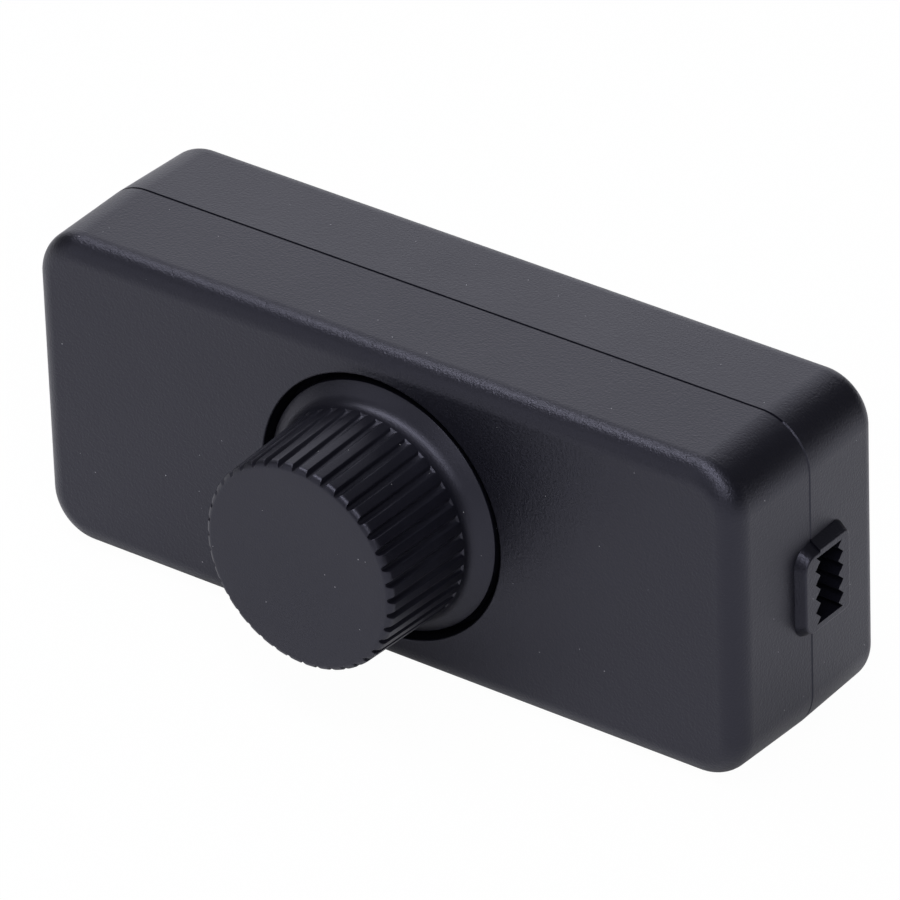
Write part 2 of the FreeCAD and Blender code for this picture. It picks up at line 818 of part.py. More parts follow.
def terminal_blocks():
    left = terminal_block(-1)
    right = terminal_block(1)
    pieces = {"left_terminal_block": left[0][0], "right_terminal_block": right[0][0]}
    for k, name in enumerate(("terminal_cages", "terminal_screws", "terminal_pins"), 1):
        pieces[name] = Part.makeCompound(left[k] + right[k])
    return pieces


def circuit_board():
    board = block(-board_half_length, board_half_length, board_front_y, board_back_y,
                  -board_half_height, board_half_height)
    bushing_hole = drum(bushing_radius + hole_gap, board_front_y, board_back_y)
    return board.cut([bushing_hole] + board_holes)


pieces = {
    "front_cover": front_cover(),
    "rear_cover": rear_cover(),
    "case_screws": case_screws(),
    "knob": knob(),
    "pot_shaft": pot_shaft(),
    "pot_bushing": pot_bushing(),
    "pot_nut": pot_nut(),
    "pot_rotor": pot_rotor(),
    "pot_wiper": pot_wiper(),
    "pot_wafer": pot_wafer(),
    "pot_housing": pot_housing(),
    "pot_terminals": pot_terminals(),
    "switch_housing": switch_housing(),
    "switch_terminals": switch_terminals(),
}
for group in (triac, choke, suppressor, timer, fuse, trigger_diode, resistors, terminal_blocks):
    pieces.update(group())
pieces["circuit_board"] = circuit_board()

overall_middle_y = (face_y + rear_depth) / 2
to_stand = Vector(0, -overall_middle_y, half_height)
os.makedirs("parts", exist_ok=True)
for node, shape in pieces.items():
    shape.translated(to_stand).exportStep("parts/" + node + ".step")
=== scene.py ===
import math
import bmesh
import bpy
from mathutils import Matrix, Vector


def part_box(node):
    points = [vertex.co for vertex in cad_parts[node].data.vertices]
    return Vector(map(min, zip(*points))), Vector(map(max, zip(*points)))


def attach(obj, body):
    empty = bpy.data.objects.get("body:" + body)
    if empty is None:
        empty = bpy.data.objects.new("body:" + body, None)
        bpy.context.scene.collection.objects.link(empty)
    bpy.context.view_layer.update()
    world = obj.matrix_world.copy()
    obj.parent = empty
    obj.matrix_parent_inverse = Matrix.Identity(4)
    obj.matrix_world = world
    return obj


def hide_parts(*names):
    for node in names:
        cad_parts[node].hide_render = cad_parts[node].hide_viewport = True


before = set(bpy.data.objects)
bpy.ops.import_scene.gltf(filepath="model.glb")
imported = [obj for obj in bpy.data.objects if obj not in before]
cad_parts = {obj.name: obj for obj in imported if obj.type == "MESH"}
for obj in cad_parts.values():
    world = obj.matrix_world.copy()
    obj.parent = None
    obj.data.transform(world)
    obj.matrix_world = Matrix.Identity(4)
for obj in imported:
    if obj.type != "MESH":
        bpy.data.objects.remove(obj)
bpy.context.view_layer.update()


# Front cover: the front half of the case, injection moulded in black plastic with a fine spark-eroded grain.
# It is a shell with drafted sides and rounded front edges, and it holds the round well that the knob sits in.
# Half of each toothed cord collar stands on its ends.
mm = 0.001
front_low, front_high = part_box("front_cover")
knob_low, knob_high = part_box("knob")
board_low, board_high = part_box("circuit_board")
axis_z = (knob_low.z + knob_high.z) / 2
seam_y = front_high.y
front_y = front_low.y
case_bottom = front_low.z
case_top = front_high.z
collar_reach = 1.2 * mm
half_length = front_high.x - collar_reach
wall = 2.0 * mm
corner_radius = 5.8 * mm
corner_steps = 24
edge_steps = 14
front_edge_radius = 2.6 * mm
front_draft = math.radians(1.2)
seam_bevel = 0.15 * mm
overlap = 0.5 * mm
reach_past = 5 * mm
join_distance = 0.0001 * mm
drum_steps = 64
cover_sharp_angle = math.radians(32)

skirt_radius = (knob_high.x - knob_low.x) / 2
skirt_gap = 0.9 * mm
well_radius = skirt_radius + skirt_gap
well_depth = 3.6 * mm
well_floor = 1.6 * mm
well_floor_y = front_y + well_depth
well_back_y = well_floor_y + well_floor
well_wall = 2.0 * mm
well_steps = 160
well_lip = 0.2 * mm
lip_steps = 6
bushing_hole_radius = 3.6 * mm
bushing_seat_half = 5.8 * mm
boss_inset = 6.75 * mm
boss_radius = 3.15 * mm
pilot_radius = 1.5 * mm
pilot_depth = 8.4 * mm
post_half = 2.2 * mm
post_inset = 4.4 * mm

collar_front = 2.85 * mm
collar_rear = 5.5 * mm
collar_half_height = 5.4 * mm
collar_side_slope = 0.3 * mm
collar_end_slope = 0.65 * mm
collar_corner = {-1: 1.9 * mm, 1: 1.2 * mm}
collar_corner_steps = 8
collar_drop = {-1: 0.3 * mm, 1: 0}
collar_edge = 0.25 * mm
collar_edge_steps = 6
slot_gap = 3.1 * mm
slot_clear = 0.05 * mm
slot_half_height = 3.95 * mm
tooth_pitch = 1.65 * mm
tooth_depth = 0.85 * mm
tooth_count = 5


def placed(name, data):
    """A new object in the scene that holds a mesh, a lamp or a camera."""
    thing = bpy.data.objects.new(name, data)
    bpy.context.scene.collection.objects.link(thing)
    return thing


def piece_from(bm, name):
    """Turns a drawn shape into a piece with its doubles merged and its faces pointing outwards."""
    bmesh.ops.remove_doubles(bm, verts=bm.verts, dist=join_distance)
    bmesh.ops.recalc_face_normals(bm, faces=bm.faces)
    mesh = bpy.data.meshes.new(name)
    bm.to_mesh(mesh)
    bm.free()
    return placed(name, mesh)


def stacked(name, outlines):
    """A closed solid through a row of outlines that have the same number of points."""
    bm = bmesh.new()
    rings = [[bm.verts.new(point) for point in outline] for outline in outlines]
    count = len(rings[0])
    for near, far in zip(rings, rings[1:]):
        for k in range(count):
            bm.faces.new((near[k], near[(k + 1) % count], far[(k + 1) % count], far[k]))
    bm.faces.new(rings[0])
    bm.faces.new(rings[-1])
    return piece_from(bm, name)


def turned(name, profile, x, z, steps):
    """A closed profile of radius and depth, turned about a line along Y through x and z."""
    bm = bmesh.new()
    angles = [2 * math.pi * k / steps for k in range(steps)]
    rings = [
        [bm.verts.new((x + r * math.cos(a), y, z + r * math.sin(a))) for a in angles]
        for r, y in profile
    ]
    for near, far in zip(rings, rings[1:] + rings[:1]):
        for k in range(steps):
            bm.faces.new((near[k], near[(k + 1) % steps], far[(k + 1) % steps], far[k]))
    bmesh.ops.remove_doubles(bm, verts=bm.verts, dist=join_distance)
    bmesh.ops.dissolve_degenerate(bm, edges=bm.edges, dist=join_distance)
    return piece_from(bm, name)


def drum(name, radius, y0, y1, x, z, steps=drum_steps):
    """A plain round bar along Y, to add or to cut with."""
    return turned(name, [(0, y0), (radius, y0), (radius, y1), (0, y1)], x, z, steps)


def block(name, low, high):
    """A plain square bar between two corners, to add or to cut with."""
    ring = [(low[0], low[2]), (high[0], low[2]), (high[0], high[2]), (low[0], high[2])]
    return stacked(name, [[(x, y, z) for x, z in ring] for y in (low[1], high[1])])


def quarter_turn(steps):
    """Angles from zero to a right angle in even steps."""
    return [math.pi / 2 * k / steps for k in range(steps + 1)]


def rounded_rectangle(half_a, low_b, high_b, radius, steps):
    """Points of a rectangle with round corners, about zero in its first direction."""
    points = []
    corners = ((half_a, high_b, 0), (-half_a, high_b, 1), (-half_a, low_b, 2), (half_a, low_b, 3))
    for a, b, quarter in corners:
        centre_a = a - math.copysign(radius, a)
        centre_b = b - radius if b == high_b else b + radius
        for k in range(steps + 1):
            angle = math.pi / 2 * (quarter + k / steps)
            points.append((centre_a + radius * math.cos(angle), centre_b + radius * math.sin(angle)))
    return points


def case_outline(inset, y):
    """The outline of the case at a depth, moved inwards by an inset."""
    ring = rounded_rectangle(
        half_length - inset, case_bottom + inset, case_top - inset, corner_radius - inset, corner_steps)
    return [(x, y, z) for x, z in ring]


def case_half(name, depth, side, draft, edge_radius):
    """One half of the case as a solid, from the bevel at the seam to the rounded edge of its closed end."""
    slope = math.tan(draft)
    straight = depth - edge_radius
    levels = [(0, seam_bevel), (seam_bevel, 0)]
    for angle in quarter_turn(edge_steps):
        levels.append((straight + edge_radius * math.sin(angle),
                       straight * slope + edge_radius * (1 - math.cos(angle))))
    return stacked(name, [case_outline(inset, seam_y + side * y) for y, inset in levels])


def case_hollow(depth, side):
    """The space inside one half of the case."""
    return stacked("hollow", [case_outline(wall, seam_y + side * y) for y in (-overlap, depth - wall)])


def collar_part(end, side):
    """A low boss with sloping sides round the cord entry, on one side of the seam."""
    levels = [(half_length - overlap, 0, 0), (half_length, 0, 0)]
    for angle in quarter_turn(collar_edge_steps):
        inset = collar_edge * (1 - math.cos(angle))
        levels.append((half_length + collar_reach - collar_edge * (1 - math.sin(angle)),
                       collar_side_slope + inset, collar_end_slope + inset))
    half_width = (collar_front + collar_rear) / 2
    middle_y = seam_y + (collar_rear - collar_front) / 2
    outlines = []
    for x, side_inset, end_inset in levels:
        half_height = collar_half_height - end_inset
        ring = rounded_rectangle(
            half_width - side_inset, axis_z - half_height, axis_z + half_height - collar_drop[side],
            collar_corner[side] - side_inset, collar_corner_steps)
        outlines.append([(end * x, middle_y + y, z) for y, z in ring])
    collar = stacked("collar", outlines)
    depths = sorted((seam_y, seam_y + side * 2 * collar_rear))
    keep = block("collar_side", (-half_length - reach_past, depths[0], case_bottom),
                 (half_length + reach_past, depths[1], case_top))
    return carved(collar, [("INTERSECT", keep)])


def toothed_slot(end):
    """The cord entry: a slot with a row of teeth on each long side, cut right through the end wall."""
    half_steps = [k * tooth_pitch / 2 for k in range(-tooth_count, tooth_count + 1)]
    between = [h for h in half_steps if abs(h) < slot_half_height]
    heights = [-slot_half_height] + between + [slot_half_height]

    def bite(height):
        phase = (2 * height / tooth_pitch + (tooth_count - 1) % 2) % 2
        return tooth_depth * min(phase, 2 - phase)

    ring = [(seam_y - slot_clear - bite(h), axis_z + h) for h in heights]
    ring += [(seam_y + slot_gap + bite(h), axis_z + h) for h in reversed(heights)]
    depths = (half_length - wall - overlap, half_length + collar_reach + overlap)
    return stacked("slot", [[(end * x, y, z) for y, z in ring] for x in depths])


def settled(piece):
    """Keeps what a piece's modifiers make of it as its plain mesh."""
    evaluated = piece.evaluated_get(bpy.context.evaluated_depsgraph_get())
    mesh = bpy.data.meshes.new_from_object(evaluated)
    piece.modifiers.clear()
    piece.data = mesh
    return piece


def carved(piece, steps):
    """Adds tools to a piece and cuts others from it, in order, and clears the tools away."""
    for operation, tool in steps:
        modifier = piece.modifiers.new(tool.name, "BOOLEAN")
        modifier.operation = operation
        modifier.object = tool
        modifier.solver = "EXACT"
    settled(piece)
    for operation, tool in steps:
        bpy.data.objects.remove(tool)
    return piece


def shaded(piece, sharp_angle):
    """Smooth shading that keeps flat faces flat and edges above an angle sharp."""
    piece.data.shade_smooth()
    piece.data.set_sharp_from_angle(angle=sharp_angle)
    modifier = piece.modifiers.new("flat_faces", "WEIGHTED_NORMAL")
    modifier.keep_sharp = True
    return settled(piece)


front_depth = seam_y - front_y
inside_y = front_y + wall
boss_x = half_length - boss_inset
boss_places = [(-boss_x, case_top - boss_inset), (boss_x, case_bottom + boss_inset)]
post_x = board_high.x - post_inset
post_places = [(-post_x, board_high.z - post_inset), (post_x, board_low.z + post_inset)]
well_profile = [(0, front_y - overlap), (well_radius + well_lip, front_y - overlap)]
for angle in quarter_turn(lip_steps):
    well_profile.append((well_radius + well_lip * (1 - math.sin(angle)),
                         front_y + well_lip * (1 - math.cos(angle))))
well_profile += [(well_radius, well_floor_y), (0, well_floor_y)]

front_steps = [("DIFFERENCE", case_hollow(front_depth, -1))]
well_drum = drum("well", well_radius + well_wall, inside_y - overlap, well_back_y, 0, axis_z, well_steps)
front_steps.append(("UNION", well_drum))
seat = block("seat", (-bushing_seat_half, well_back_y - overlap, axis_z - bushing_seat_half),
             (bushing_seat_half, board_low.y, axis_z + bushing_seat_half))
front_steps.append(("UNION", seat))
for x, z in boss_places:
    front_steps.append(("UNION", drum("boss", boss_radius, inside_y - overlap, seam_y, x, z)))
for x, z in post_places:
    post = block("post", (x - post_half, inside_y - overlap, z - post_half),
                 (x + post_half, board_low.y, z + post_half))
    front_steps.append(("UNION", post))
for end in (-1, 1):
    front_steps.append(("UNION", collar_part(end, -1)))
front_steps.append(("DIFFERENCE", turned("well_bore", well_profile, 0, axis_z, well_steps)))
bushing_hole = drum("bushing_hole", bushing_hole_radius, front_y, board_low.y + overlap, 0, axis_z)
front_steps.append(("DIFFERENCE", bushing_hole))
for x, z in boss_places:
    pilot = drum("pilot", pilot_radius, seam_y - pilot_depth, seam_y + overlap, x, z)
    front_steps.append(("DIFFERENCE", pilot))
for end in (-1, 1):
    front_steps.append(("DIFFERENCE", toothed_slot(end)))
front_shell = case_half("front_cover_shell", front_depth, -1, front_draft, front_edge_radius)
front_cover = shaded(carved(front_shell, front_steps), cover_sharp_angle)

grain_detail = 2.0
grain_roughness = 0.65
cloud_detail = 4.0
dust_cutoff = 0.55


def surface_group():
    """Moulded surface: fine grain, slow clouds and scattered dust, each from a point on the piece."""
    group = bpy.data.node_groups.new("moulded_surface", "ShaderNodeTree")
    sockets = group.interface
    sockets.new_socket("Place", in_out="INPUT", socket_type="NodeSocketVector")
    for name in ("Grain Scale", "Cloud Scale", "Dust Scale", "Dust Size"):
        sockets.new_socket(name, in_out="INPUT", socket_type="NodeSocketFloat")
    for name in ("Grain", "Clouds", "Dust"):
        sockets.new_socket(name, in_out="OUTPUT", socket_type="NodeSocketFloat")
    add = group.nodes.new
    link = group.links.new
    given = add("NodeGroupInput")
    made = add("NodeGroupOutput")
    grain = add("ShaderNodeTexNoise")
    grain.inputs["Detail"].default_value = grain_detail
    grain.inputs["Roughness"].default_value = grain_roughness
    link(given.outputs["Place"], grain.inputs["Vector"])
    link(given.outputs["Grain Scale"], grain.inputs["Scale"])
    link(grain.outputs["Fac"], made.inputs["Grain"])
    clouds = add("ShaderNodeTexNoise")
    clouds.inputs["Detail"].default_value = cloud_detail
    link(given.outputs["Place"], clouds.inputs["Vector"])
    link(given.outputs["Cloud Scale"], clouds.inputs["Scale"])
    link(clouds.outputs["Fac"], made.inputs["Clouds"])
    specks = add("ShaderNodeTexVoronoi")
    link(given.outputs["Place"], specks.inputs["Vector"])
    link(given.outputs["Dust Scale"], specks.inputs["Scale"])
    near = add("ShaderNodeMath")
    near.operation = "LESS_THAN"
    link(specks.outputs["Distance"], near.inputs[0])
    link(given.outputs["Dust Size"], near.inputs[1])
    chosen = add("ShaderNodeSeparateColor")
    link(specks.outputs["Color"], chosen.inputs[0])
    some = add("ShaderNodeMath")
    some.operation = "GREATER_THAN"
    some.inputs[1].default_value = dust_cutoff
    link(chosen.outputs[0], some.inputs[0])
    dust = add("ShaderNodeMath")
    dust.operation = "MULTIPLY"
    link(near.outputs[0], dust.inputs[0])
    link(some.outputs[0], dust.inputs[1])
    link(dust.outputs[0], made.inputs["Dust"])
    return group


moulded_surface = surface_group()
dust_colour = (0.7, 0.7, 0.72, 1)
cool_gloss = (0.82, 0.82, 1, 1)
plastic_cloud_scale = 90
plastic_tone_swing = 0.12
plastic_gloss_swing = 0.05


def clouded_finish(name, colour, roughness, grain_scale, grain_depth, cloud_scale, tone_swing, gloss_swing):
    """A finish with slow changes of tone and gloss, and a fine grain as bump."""
    material = bpy.data.materials.new(name)
    material.use_nodes = True
    add = material.node_tree.nodes.new
    link = material.node_tree.links.new
    shader = material.node_tree.nodes["Principled BSDF"]
    place = add("ShaderNodeTexCoord")
    surface = add("ShaderNodeGroup")
    surface.name = "surface"
    surface.node_tree = moulded_surface
    surface.inputs["Grain Scale"].default_value = grain_scale
    surface.inputs["Cloud Scale"].default_value = cloud_scale
    link(place.outputs["Object"], surface.inputs["Place"])
    tone = add("ShaderNodeMix")
    tone.name = "tone"
    tone.data_type = "RGBA"
    tone.inputs["A"].default_value = (*[c * (1 - tone_swing) for c in colour], 1)
    tone.inputs["B"].default_value = (*[min(c * (1 + tone_swing), 1) for c in colour], 1)
    link(surface.outputs["Clouds"], tone.inputs["Factor"])
    link(tone.outputs["Result"], shader.inputs["Base Color"])
    gloss = add("ShaderNodeMapRange")
    gloss.inputs["To Min"].default_value = roughness - gloss_swing
    gloss.inputs["To Max"].default_value = roughness + gloss_swing
    link(surface.outputs["Clouds"], gloss.inputs["Value"])
    link(gloss.outputs["Result"], shader.inputs["Roughness"])
    bump = add("ShaderNodeBump")
    bump.inputs["Strength"].default_value = 1.0
    bump.inputs["Distance"].default_value = grain_depth
    link(surface.outputs["Grain"], bump.inputs["Height"])
    link(bump.outputs["Normal"], shader.inputs["Normal"])
    return material


def moulded_plastic(name, colour, roughness, grain_scale, grain_depth, dust_scale, dust_size, specular):
    """Black moulded plastic: a clouded finish with a cool gloss and a little dust."""
    material = clouded_finish(name, colour, roughness, grain_scale, grain_depth,
                              plastic_cloud_scale, plastic_tone_swing, plastic_gloss_swing)
    parts = material.node_tree.nodes
    link = material.node_tree.links.new
    shader = parts["Principled BSDF"]
    shader.inputs["Specular IOR Level"].default_value = specular
    shader.inputs["Specular Tint"].default_value = cool_gloss
    surface = parts["surface"]
    surface.inputs["Dust Scale"].default_value = dust_scale
    surface.inputs["Dust Size"].default_value = dust_size
    dusted = parts.new("ShaderNodeMix")
    dusted.data_type = "RGBA"
    dusted.inputs["B"].default_value = dust_colour
    link(surface.outputs["Dust"], dusted.inputs["Factor"])
    link(parts["tone"].outputs["Result"], dusted.inputs["A"])
    link(dusted.outputs["Result"], shader.inputs["Base Color"])
    return material


case_black = (0.0035, 0.0035, 0.0062)
case_plastic = moulded_plastic(
    "grained_case_plastic", case_black, roughness=0.37, grain_scale=3800, grain_depth=0.052 * mm,
    dust_scale=640, dust_size=0.026, specular=0.56)
# Painted shade: the case plastic again, but rougher and with little gloss, so that the well, the slots and
# the seam read darker, as if shaded.
recess_shade_plastic = moulded_plastic(
    "painted_shade_plastic", case_black, roughness=0.8, grain_scale=3800, grain_depth=0.042 * mm,
    dust_scale=500, dust_size=0, specular=0.08)
slot_side_turn = 0.1
seam_run_turn = 0.3


def cover_finish_and_painted_shade(cover):
    """Grained plastic outside, and a rougher copy of it with little gloss in the well, the slots and the long
    runs of the seam, where it paints shade.
    """
    cover.data.materials.clear()
    cover.data.materials.append(case_plastic)
    cover.data.materials.append(recess_shade_plastic)
    slot_low = seam_y - slot_clear - tooth_depth
    slot_high = seam_y + slot_gap + tooth_depth
    for face in cover.data.polygons:
        x, y, z = face.center
        from_axis = math.hypot(x, z - axis_z)
        in_well = from_axis < well_radius + slot_clear and front_y + well_lip < y < well_back_y
        in_slot = (abs(face.normal.x) < slot_side_turn and abs(x) > half_length - wall
                   and slot_low < y < slot_high and abs(z - axis_z) < slot_half_height + slot_clear)
        in_seam = abs(y - seam_y) < seam_bevel and abs(face.normal.x) < seam_run_turn
        # Faces in the well, the slots and the seam get the painted-shade copy of the plastic.
        if in_well or in_slot or in_seam:
            face.material_index = 1


cover_finish_and_painted_shade(front_cover)
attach(front_cover, "case")
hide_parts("front_cover")


# Rear cover: the back half of the case, moulded in the same grained plastic and a little shallower.
# A low rim inside its edge drops into the front cover, and two deep screw holes open in its flat back.
rear_low, rear_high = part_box("rear_cover")
rear_y = rear_high.y
rear_depth = rear_y - seam_y
rear_edge_radius = 2.1 * mm
rear_draft = math.radians(1.7)
rim_height = seam_y - rear_low.y
rim_gap = 0.15 * mm
rim_wall = 0.9 * mm
rear_boss_radius = 4.2 * mm
screw_seat_depth = 6.2 * mm
screw_seat_y = seam_y + screw_seat_depth
screw_hole_radius = 1.75 * mm
head_hole_radius = 3.0 * mm


def locating_rim():
    """The low rim inside the seam, open where the cord collars are."""
    outer = wall + rim_gap
    inner = outer + rim_wall
    rim = stacked("rim", [case_outline(outer, y) for y in (seam_y - rim_height, seam_y)])
    root = stacked("rim_root", [case_outline(wall / 2, y) for y in (seam_y, seam_y + rim_height)])
    space = stacked("rim_space", [case_outline(inner, seam_y + y) for y in (-reach_past, reach_past)])
    doorway = block(
        "rim_doorway", (-half_length - reach_past, seam_y - reach_past, axis_z - collar_half_height),
        (half_length + reach_past, seam_y + reach_past, axis_z + collar_half_height))
    return carved(rim, [("UNION", root), ("DIFFERENCE", space), ("DIFFERENCE", doorway)])


rear_steps = [("DIFFERENCE", case_hollow(rear_depth, 1)), ("UNION", locating_rim())]
for x, z in boss_places:
    rear_boss = drum("rear_boss", rear_boss_radius, seam_y + seam_bevel, rear_y - overlap, x, z)
    rear_steps.append(("UNION", rear_boss))
for end in (-1, 1):
    rear_steps.append(("UNION", collar_part(end, 1)))
for x, z in boss_places:
    screw_hole = drum("screw_hole", screw_hole_radius, seam_y - overlap, rear_y, x, z)
    head_hole = drum("head_hole", head_hole_radius, screw_seat_y, rear_y + overlap, x, z)
    rear_steps += [("DIFFERENCE", screw_hole), ("DIFFERENCE", head_hole)]
for end in (-1, 1):
    rear_steps.append(("DIFFERENCE", toothed_slot(end)))
rear_shell = case_half("rear_cover_shell", rear_depth, 1, rear_draft, rear_edge_radius)
rear_cover = shaded(carved(rear_shell, rear_steps), cover_sharp_angle)
cover_finish_and_painted_shade(rear_cover)
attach(rear_cover, "case")
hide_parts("rear_cover")


# Knob: one moulding in black plastic, turned with the fingers. Forty grooves run from its rounded rim down to
# a skirt that flares out into the well, and a hub inside it is pressed on the flat of the shaft.
face_y = knob_low.y
skirt_back_y = knob_high.y
base_radius = 12.25 * mm
side_taper = 0.35 * mm
face_radius = base_radius - side_taper
face_rings = 6
rim_radius = 0.8 * mm
rim_steps = 14
side_steps = 8
flute_count = 40
flute_half_steps = 16
flute_depth = 0.56 * mm
flute_end_depth = 0.17 * mm
flute_width = 0.62 * mm
flute_ease = 0.36 * mm
ramp_slope = 0.75
ramp_steps = 6
skirt_sink = 0.4 * mm
skirt_edge_y = front_y + skirt_sink
skirt_bend = math.radians(55)
flare_radius = 2.0 * mm
flare_steps = 14
skirt_straight = skirt_radius - base_radius - flare_radius * (1 - math.cos(skirt_bend))
flare_y = skirt_edge_y - skirt_straight / math.tan(skirt_bend) - flare_radius * math.sin(skirt_bend)
edge_round = 0.1 * mm
edge_round_steps = 4
sector_join_distance = 0.00001 * mm
ring_join_distance = 0.002 * mm
knob_sharp_angle = math.radians(34)
cavity_radius = 9.7 * mm
face_wall = 2.0 * mm
cavity_y = face_y + face_wall
hub_radius = 4.7 * mm
hub_rib = 1.0 * mm
hub_gap = 1.4 * mm
hub_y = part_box("pot_bushing")[0].y - hub_gap
shaft_radius = 3.05 * mm
shaft_flat = 1.55 * mm
bore_steps = 48


def side_radius(y):
    """Radius of the ridges at a depth: the knob narrows a little towards its face."""
    along = (y - face_y - rim_radius) / (flare_y - face_y - rim_radius)
    return face_radius + (base_radius - face_radius) * min(max(along, 0), 1)


def groove_depth(angle, y):
    """How deep the groove is: a hollow with eased edges that gets shallower and ends in a short ramp."""
    across = abs(angle) * face_radius
    rise = min(max((flute_width / 2 - across) / flute_ease + 0.5, 0), 1)
    middle_depth = flute_depth + (flute_end_depth - flute_depth) * (y - face_y) / (flare_y - face_y)
    return min(middle_depth * rise * rise * (3 - 2 * rise), max(flare_y - y, 0) * ramp_slope)


def knob_profile():
    """Rows of radius, depth and whether the grooves cut them, from the middle of the face to the inside."""
    flat_radius = face_radius - rim_radius
    rows = [(k * flat_radius / face_rings, face_y, False) for k in range(face_rings)]
    for angle in quarter_turn(rim_steps):
        rows.append((flat_radius + rim_radius * math.sin(angle),
                     face_y + rim_radius * (1 - math.cos(angle)), True))
    first = face_y + rim_radius
    ramp = flute_end_depth / ramp_slope
    last = flare_y - ramp
    depths = [first + (last - first) * k / side_steps for k in range(1, side_steps + 1)]
    depths += [last + ramp * k / ramp_steps for k in range(1, ramp_steps + 1)]
    rows += [(side_radius(y), y, True) for y in depths]
    for k in range(1, flare_steps + 1):
        angle = skirt_bend * k / flare_steps
        rows.append((base_radius + flare_radius * (1 - math.cos(angle)),
                     flare_y + flare_radius * math.sin(angle), False))
    for k in range(edge_round_steps + 1):
        angle = math.pi / 2 - skirt_bend + skirt_bend * k / edge_round_steps
        rows.append((skirt_radius - edge_round * (1 - math.sin(angle)),
                     skirt_edge_y + edge_round * (math.tan(skirt_bend / 2) - math.cos(angle)), False))
    for angle in quarter_turn(edge_round_steps):
        rows.append((skirt_radius - edge_round * (1 - math.cos(angle)),
                     skirt_back_y - edge_round * (1 - math.sin(angle)), False))
    rows += [(cavity_radius, skirt_back_y, False), (cavity_radius, cavity_y, False), (0, cavity_y, False)]
    return rows


def knob_sector():
    """One groove with half a ridge on each side of it, about the knob's axis."""
    half_angle = math.pi / flute_count
    angles = [half_angle * k / flute_half_steps for k in range(-flute_half_steps, flute_half_steps + 1)]
    bm = bmesh.new()
    rows = []
    for radius, y, grooved in knob_profile():
        row = []
        for a in angles:
            r = min(radius, side_radius(y) - groove_depth(a, y)) if grooved else radius
            row.append(bm.verts.new((r * math.cos(a), y, r * math.sin(a))))
        rows.append(row)
    for near, far in zip(rows, rows[1:]):
        for k in range(len(angles) - 1):
            bm.faces.new((near[k], near[k + 1], far[k + 1], far[k]))
    bmesh.ops.remove_doubles(bm, verts=bm.verts, dist=sector_join_distance)
    bmesh.ops.dissolve_degenerate(bm, edges=bm.edges, dist=sector_join_distance)
    return piece_from(bm, "knob_body")


def shape_tree(name, inputs):
    """A geometry tree without nodes that takes a geometry and the named inputs, and gives a geometry."""
    tree = bpy.data.node_groups.new(name, "GeometryNodeTree")
    tree.interface.new_socket("Geometry", in_out="INPUT", socket_type="NodeSocketGeometry")
    for socket_name, kind in inputs.items():
        tree.interface.new_socket(socket_name, in_out="INPUT", socket_type=kind)
    tree.interface.new_socket("Geometry", in_out="OUTPUT", socket_type="NodeSocketGeometry")
    return tree


def ring_tree():
    """Repeats a piece about a line along Y and joins the copies along their shared edges."""
    tree = shape_tree("repeat_about_axis", {
        "Count": "NodeSocketInt",
        "Centre": "NodeSocketVector",
        "Join Distance": "NodeSocketFloat",
        "Finish": "NodeSocketMaterial",
    })
    add = tree.nodes.new
    link = tree.links.new
    given = add("NodeGroupInput")
    made = add("NodeGroupOutput")
    line = add("GeometryNodeMeshLine")
    link(given.outputs["Count"], line.inputs["Count"])
    link(given.outputs["Centre"], line.inputs["Start Location"])
    line.inputs["Offset"].default_value = (0, 0, 0)
    index = add("GeometryNodeInputIndex")
    share = add("ShaderNodeMath")
    share.operation = "DIVIDE"
    link(index.outputs[0], share.inputs[0])
    link(given.outputs["Count"], share.inputs[1])
    angle = add("ShaderNodeMath")
    angle.operation = "MULTIPLY"
    angle.inputs[1].default_value = 2 * math.pi
    link(share.outputs[0], angle.inputs[0])
    turn = add("ShaderNodeCombineXYZ")
    link(angle.outputs[0], turn.inputs["Y"])
    copies = add("GeometryNodeInstanceOnPoints")
    link(line.outputs["Mesh"], copies.inputs["Points"])
    link(given.outputs["Geometry"], copies.inputs["Instance"])
    link(turn.outputs[0], copies.inputs["Rotation"])
    real = add("GeometryNodeRealizeInstances")
    link(copies.outputs[0], real.inputs[0])
    joined = add("GeometryNodeMergeByDistance")
    link(real.outputs[0], joined.inputs["Geometry"])
    link(given.outputs["Join Distance"], joined.inputs["Distance"])
    finish = add("GeometryNodeSetMaterial")
    link(joined.outputs[0], finish.inputs["Geometry"])
    link(given.outputs["Finish"], finish.inputs["Material"])
    link(finish.outputs[0], made.inputs["Geometry"])
    return tree


def grown(piece, tree, values):
    """Runs a node tree on a piece with the given inputs and keeps the result as its plain mesh."""
    modifier = piece.modifiers.new(tree.name, "NODES")
    modifier.node_group = tree
    for socket in tree.interface.items_tree:
        if socket.in_out == "INPUT" and socket.name in values:
            modifier[socket.identifier] = values[socket.name]
    return settled(piece)


knob_black = (0.0035, 0.0035, 0.0062)
knob_plastic = moulded_plastic(
    "satin_knob_plastic", knob_black, roughness=0.4, grain_scale=4500, grain_depth=0.022 * mm,
    dust_scale=760, dust_size=0.03, specular=0.56)
knob = grown(knob_sector(), ring_tree(), {
    "Count": flute_count,
    "Centre": Vector((0, 0, axis_z)),
    "Join Distance": ring_join_distance,
    "Finish": knob_plastic,
})
bore_ring = []
for k in range(bore_steps):
    angle = 2 * math.pi * k / bore_steps
    bore_ring.append((shaft_radius * math.cos(angle),
                      axis_z + min(shaft_radius * math.sin(angle), shaft_flat)))
bore = stacked("bore", [[(x, y, z) for x, z in bore_ring] for y in (cavity_y, hub_y + overlap)])
hub = carved(drum("hub", hub_radius, cavity_y - overlap, hub_y, 0, axis_z), [("DIFFERENCE", bore)])
rib_start_y = cavity_y - overlap
rib_end_y = (cavity_y + hub_y) / 2
rib_in = shaft_radius + overlap
rib_out = cavity_radius + overlap
rib_half = hub_rib / 2
knob_steps = [("UNION", hub)]
